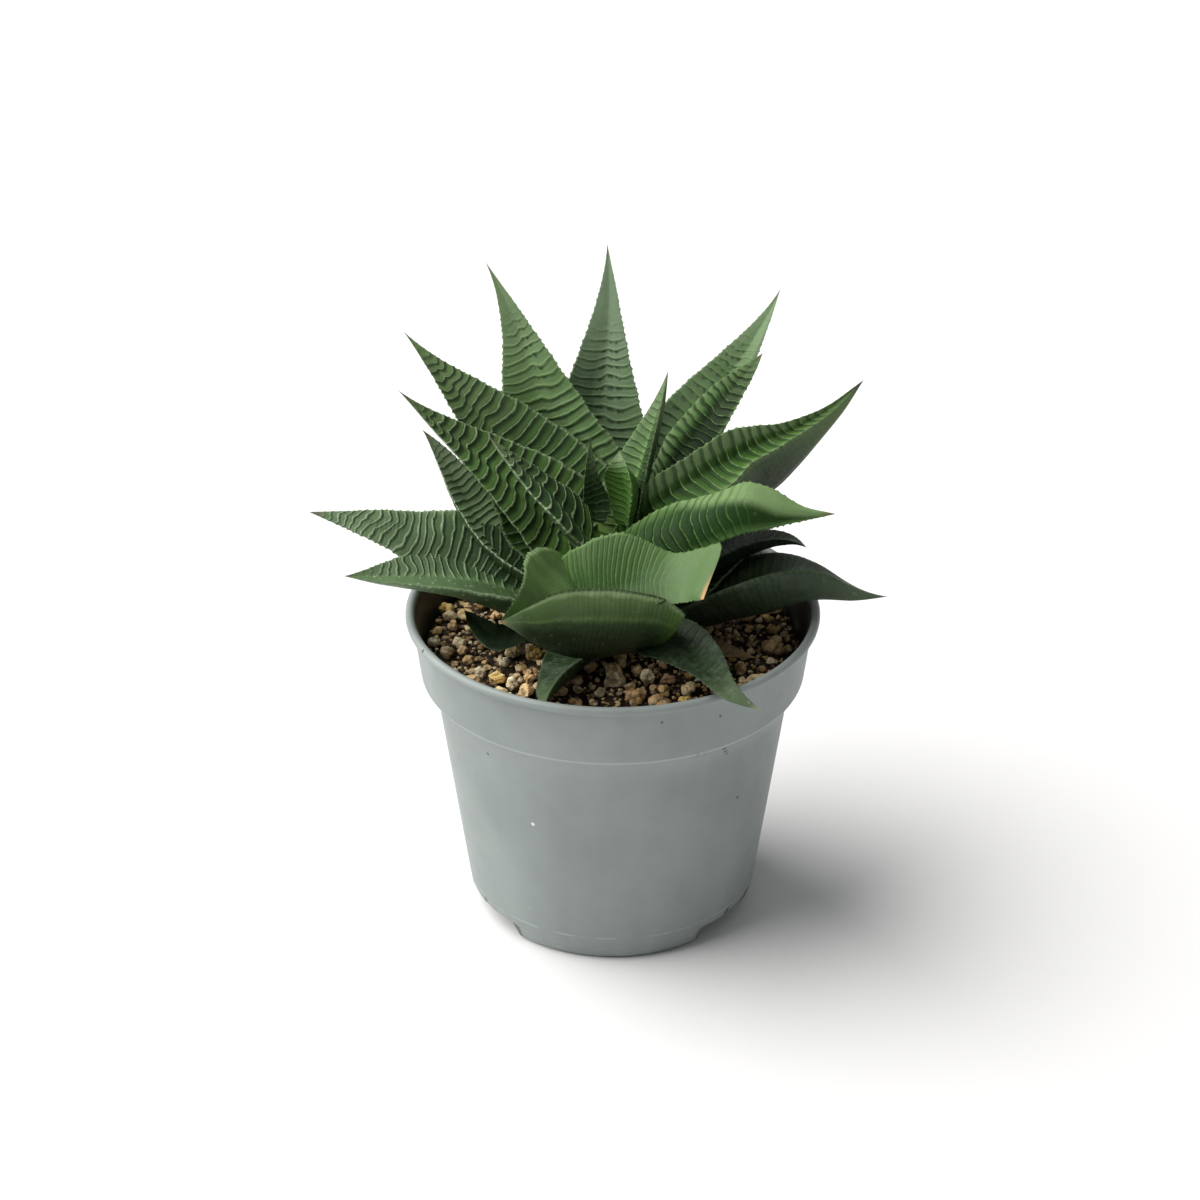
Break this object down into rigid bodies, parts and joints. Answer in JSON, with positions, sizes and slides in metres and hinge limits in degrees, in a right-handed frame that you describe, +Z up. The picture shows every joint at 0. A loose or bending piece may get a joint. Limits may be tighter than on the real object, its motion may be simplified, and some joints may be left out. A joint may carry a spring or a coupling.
{
  "type": "potted haworthia",
  "caption": "Potted haworthia: a rosette of keeled, cross-ridged pointed leaves on a short stem, in gritty soil in a round thin-walled grower's pot with a rolled rim and foot notches.",
  "frame": {"origin": "on the pot's axis, in the plane of its flat bottom, which is the ground it stands on", "axes": "+Z up along the pot's axis; -Y towards the front of the plant, the side the two large curled leaves lean to; +X to the right seen from the front"},
  "size_m": [0.123, 0.0925, 0.1388],
  "materials": {
    "pot": "matte",
    "stem": "satin",
    "leaf": "satin",
    "soil": "matte",
    "grit": "matte"
  },
  "bodies": {
    "root": {"pot": "pot", "stem": "stem", "leaf_10": "leaf", "leaf_09": "leaf", "leaf_16": "leaf", "leaf_17": "leaf", "leaf_05": "leaf", "leaf_11": "leaf", "leaf_15": "leaf", "leaf_12": "leaf", "leaf_14": "leaf", "leaf_04": "leaf", "leaf_08": "leaf", "leaf_03": "leaf", "leaf_13": "leaf", "leaf_02": "leaf", "leaf_01": "leaf", "leaf_07": "leaf", "leaf_06": "leaf", "leaf_18": "leaf", "leaf_19": "leaf", "leaf_20": "leaf", "leaf_21": "leaf", "leaf_22": "leaf", "leaf_23": "leaf", "leaf_24": "leaf", "leaf_25": "leaf", "leaf_27": "leaf", "leaf_26": "leaf", "soil": "soil", "stone_01": "grit", "stone_02": "grit", "stone_03": "grit", "stone_04": "grit", "stone_05": "grit", "stone_06": "grit", "stone_07": "grit", "stone_08": "grit", "stone_09": "grit", "stone_10": "grit", "stone_11": "grit", "stone_12": "grit", "stone_13": "grit", "stone_14": "grit", "stone_15": "grit", "stone_16": "grit", "stone_17": "grit", "stone_18": "grit", "stone_19": "grit", "stone_20": "grit", "stone_21": "grit"}
  },
  "joints": []
}
